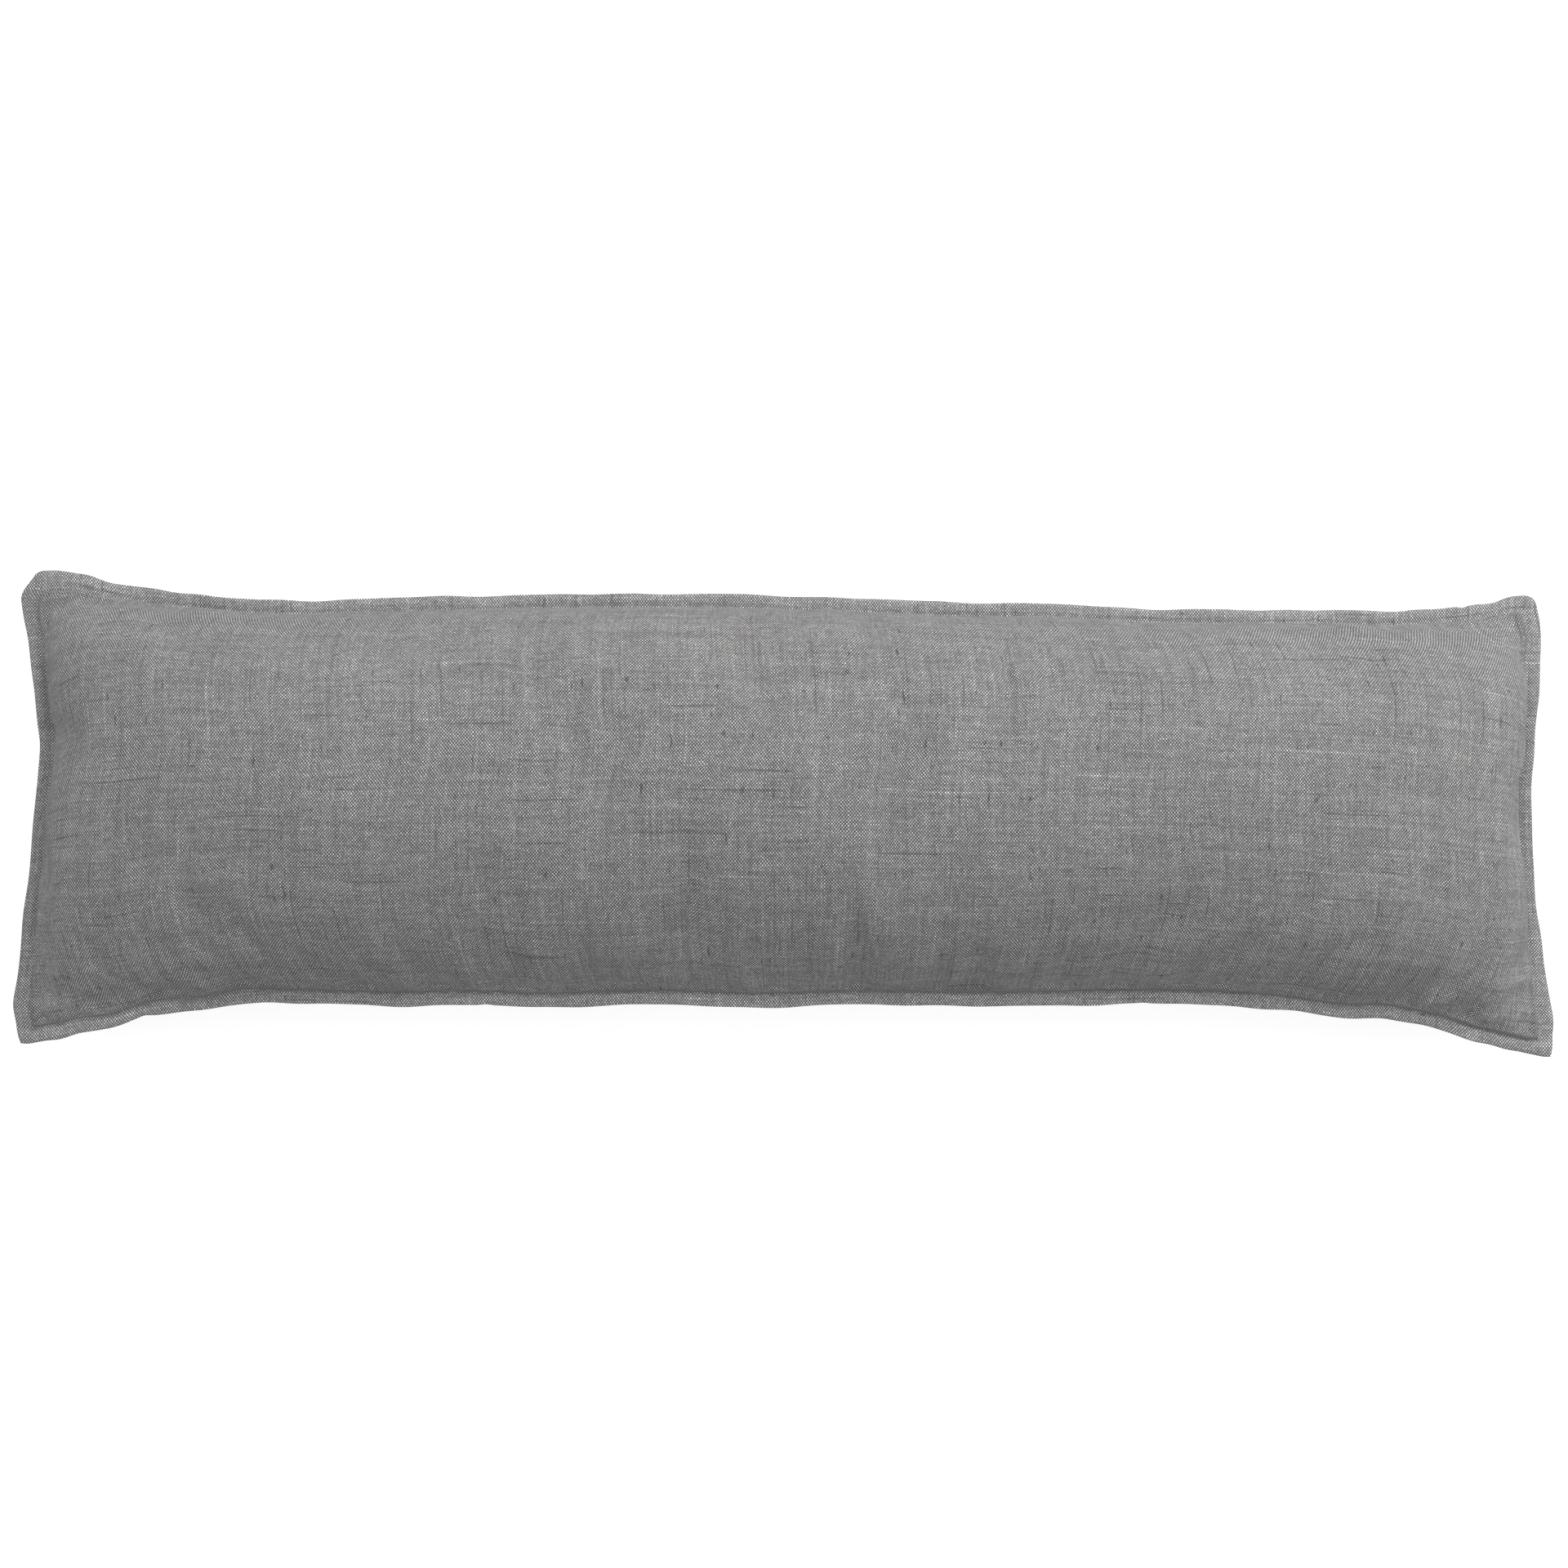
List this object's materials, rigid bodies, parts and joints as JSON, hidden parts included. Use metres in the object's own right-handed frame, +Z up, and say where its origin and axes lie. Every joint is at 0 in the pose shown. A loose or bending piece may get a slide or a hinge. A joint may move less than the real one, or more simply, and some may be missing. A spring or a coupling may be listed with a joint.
{
  "type": "body pillow",
  "caption": "Long filled body pillow in plain-weave linen, lying on its back, with drawn-in sides, a soft crown and a narrow topstitched flange all round.",
  "frame": {"origin": "middle of the pillow's box, on the surface that it rests on", "axes": "+X along the pillow, +Y towards its upper long side as pictured, +Z up out of the front panel"},
  "size_m": [1.4678, 0.464, 0.1793],
  "materials": {
    "linen": "matt slubby plain-weave linen, mid grey"
  },
  "bodies": {
    "root": {"filled_body": "linen", "flange": "linen"}
  },
  "joints": []
}
